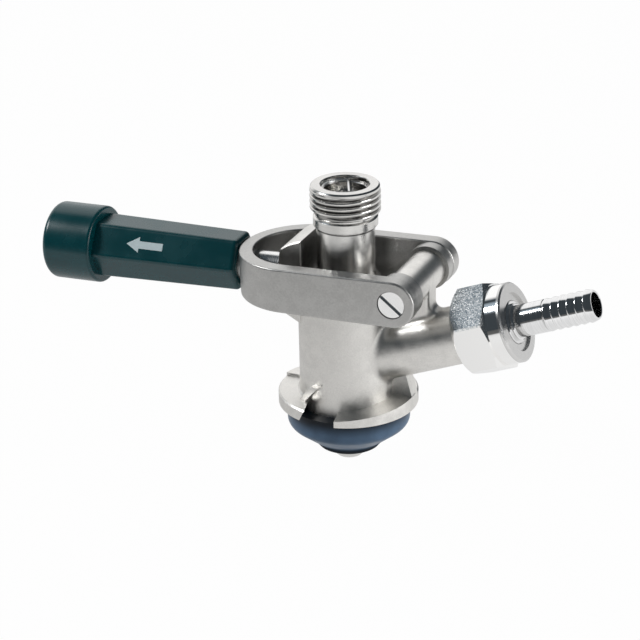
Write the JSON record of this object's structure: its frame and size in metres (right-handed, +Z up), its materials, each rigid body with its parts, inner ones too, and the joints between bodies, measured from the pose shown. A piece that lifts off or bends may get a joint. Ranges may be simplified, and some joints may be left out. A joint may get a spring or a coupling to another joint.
{
  "type": "keg coupler",
  "caption": "Keg tapping head: bayonet base with rubber keg seal, sliding probe, side lever with sprung latch in a hexagonal grip, threaded outlet and barbed gas tail.",
  "frame": {"origin": "centre of the bayonet flange's underside, on the probe's axis", "axes": "+Z up along the probe towards the outlet, +X towards the gas inlet and the lever's pivot, -X towards the grip"},
  "size_m": [0.1915, 0.0456, 0.0957],
  "materials": {
    "cast_steel": "bead-blasted stainless casting",
    "satin_steel": "satin stainless casting",
    "machined_steel": "turned stainless",
    "chrome": "bright chrome plate",
    "green_plastic": "glossy dark teal green",
    "seal_rubber": "smooth slate-blue rubber",
    "black_rubber": "black nitrile",
    "white_plastic": "natural acetal",
    "spring_steel": "spring wire"
  },
  "bodies": {
    "coupler_body": {"cast_body": "cast_steel", "gland_bush": "white_plastic", "gland_o_rings": "black_rubber", "keg_seal": "seal_rubber", "pivot_bushes": "white_plastic", "gas_check_valve": "black_rubber", "valve_ring": "white_plastic", "tail_washer": "black_rubber"},
    "gas_tail": {"hose_tail": "chrome"},
    "gas_nut": {"union_nut": "chrome"},
    "lever": {"lever_yoke": "satin_steel", "drive_pin_near": "machined_steel", "drive_pin_far": "machined_steel", "pivot_screw": "machined_steel", "pivot_nut": "machined_steel", "stem_plug": "white_plastic"},
    "latch": {"latch_bolt": "machined_steel", "latch_spring": "spring_steel", "grip": "green_plastic", "grip_cap": "green_plastic", "grip_washer": "machined_steel", "bolt_nut": "machined_steel"},
    "probe": {"probe_tube": "machined_steel", "outlet_fitting": "machined_steel", "outlet_o_ring": "black_rubber", "ball_retainer": "spring_steel"},
    "outlet_ball": {"check_ball": "machined_steel"}
  },
  "joints": [
    {"name": "lever_hinge", "type": "hinge", "parent": "coupler_body", "child": "lever", "pos_m": [0.0235, 0, 0.0452], "axis": [0, 1, 0], "range_deg": [0, 32]},
    {"name": "probe_stroke", "type": "slide", "parent": "coupler_body", "child": "probe", "axis": [0, 0, 1], "range_m": [0, 0.01311]},
    {"name": "latch_pull", "type": "slide", "parent": "lever", "child": "latch", "axis": [-0.9998, 0, -0.0192], "range_m": [0, 0.0055], "stiffness_N_per_m": 1500, "springref_m": -0.004, "deforming": ["latch_spring"]},
    {"name": "gas_nut_turn", "type": "hinge", "parent": "coupler_body", "child": "gas_nut", "pos_m": [0.0468, 0, 0.03189], "axis": [0.9361, 0, 0.3518], "continuous": true},
    {"name": "gas_tail_swivel", "type": "hinge", "parent": "coupler_body", "child": "gas_tail", "pos_m": [0.0468, 0, 0.03189], "axis": [0.9361, 0, 0.3518], "continuous": true},
    {"name": "ball_lift", "type": "slide", "parent": "probe", "child": "outlet_ball", "axis": [0, 0, 1], "range_m": [0, 0.00378]}
  ],
  "couplings": [
    {"joint": "probe_stroke", "follows": "lever_hinge", "m_per_rad": 0.023434}
  ]
}
